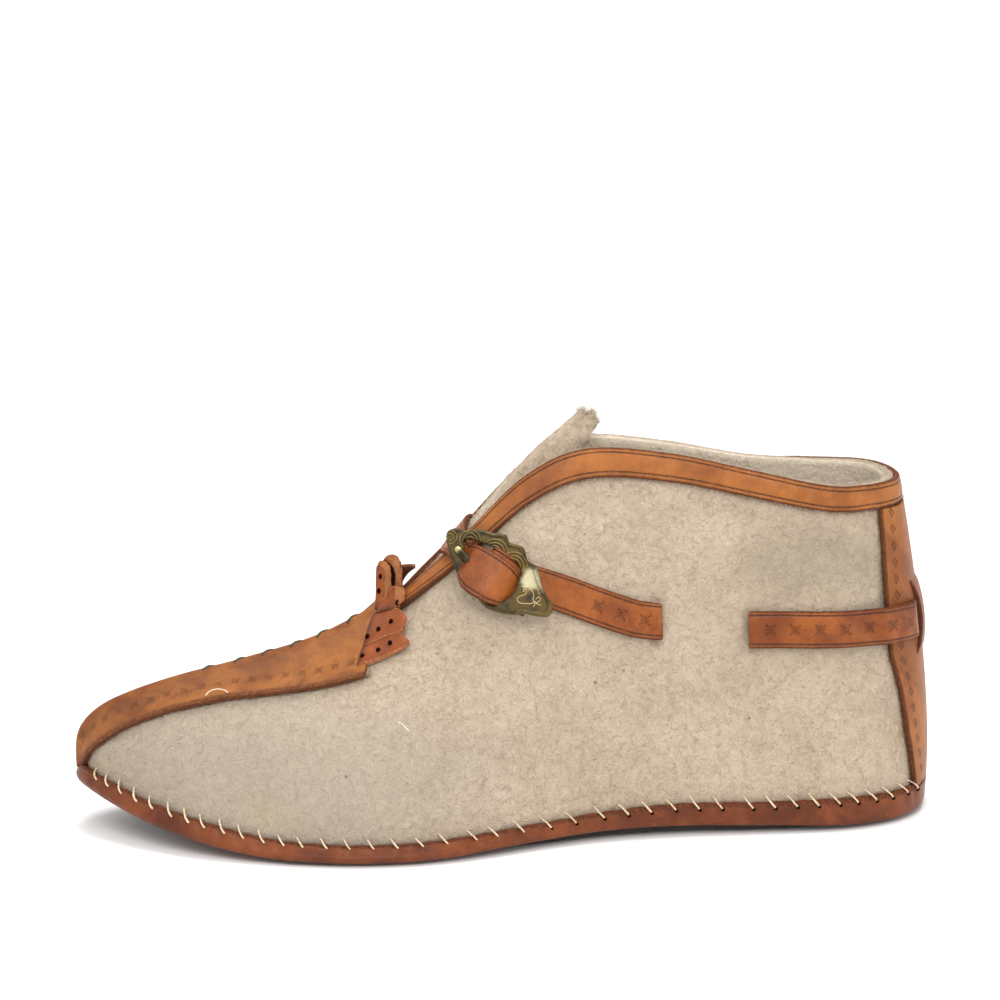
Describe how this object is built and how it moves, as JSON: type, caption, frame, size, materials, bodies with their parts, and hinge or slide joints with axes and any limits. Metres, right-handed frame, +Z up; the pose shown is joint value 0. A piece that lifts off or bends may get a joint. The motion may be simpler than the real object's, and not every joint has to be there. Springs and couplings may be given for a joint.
{
  "type": "ankle boot",
  "caption": "Soft felt ankle boot with leather trim, a turned-up leather sole, a fringed tongue flap and a buckled ankle strap, standing empty.",
  "frame": {"origin": "on the floor under the middle of the heel", "axes": "+Z up, toe along -X, heel along +X, outer side of the left foot along -Y"},
  "size_m": [0.2708, 0.0935, 0.1281],
  "materials": {
    "felt": "thick pressed wool felt, matt, warm beige with fine specks",
    "outsole": "near-black, matt, worn",
    "sole_leather": "reddish brown, rubbed, scuffed",
    "trim_leather": "orange-tan vegetable-tanned leather, satin, dark raw edges",
    "strap_leather": "redder tan leather, slightly glossy, creased along its edges",
    "brass": "cast brass, aged greenish brown, worn bright on high spots"
  },
  "bodies": {
    "root": {"outsole": "outsole", "sole": "sole_leather", "insole": "felt", "upper": "felt", "tongue": "felt", "collar_band": "trim_leather", "heel_strip": "trim_leather", "toe_strip": "trim_leather", "fringe": "strap_leather", "ankle_strap": "strap_leather", "buckle_frame": "brass", "buckle_prong": "brass"}
  },
  "joints": []
}
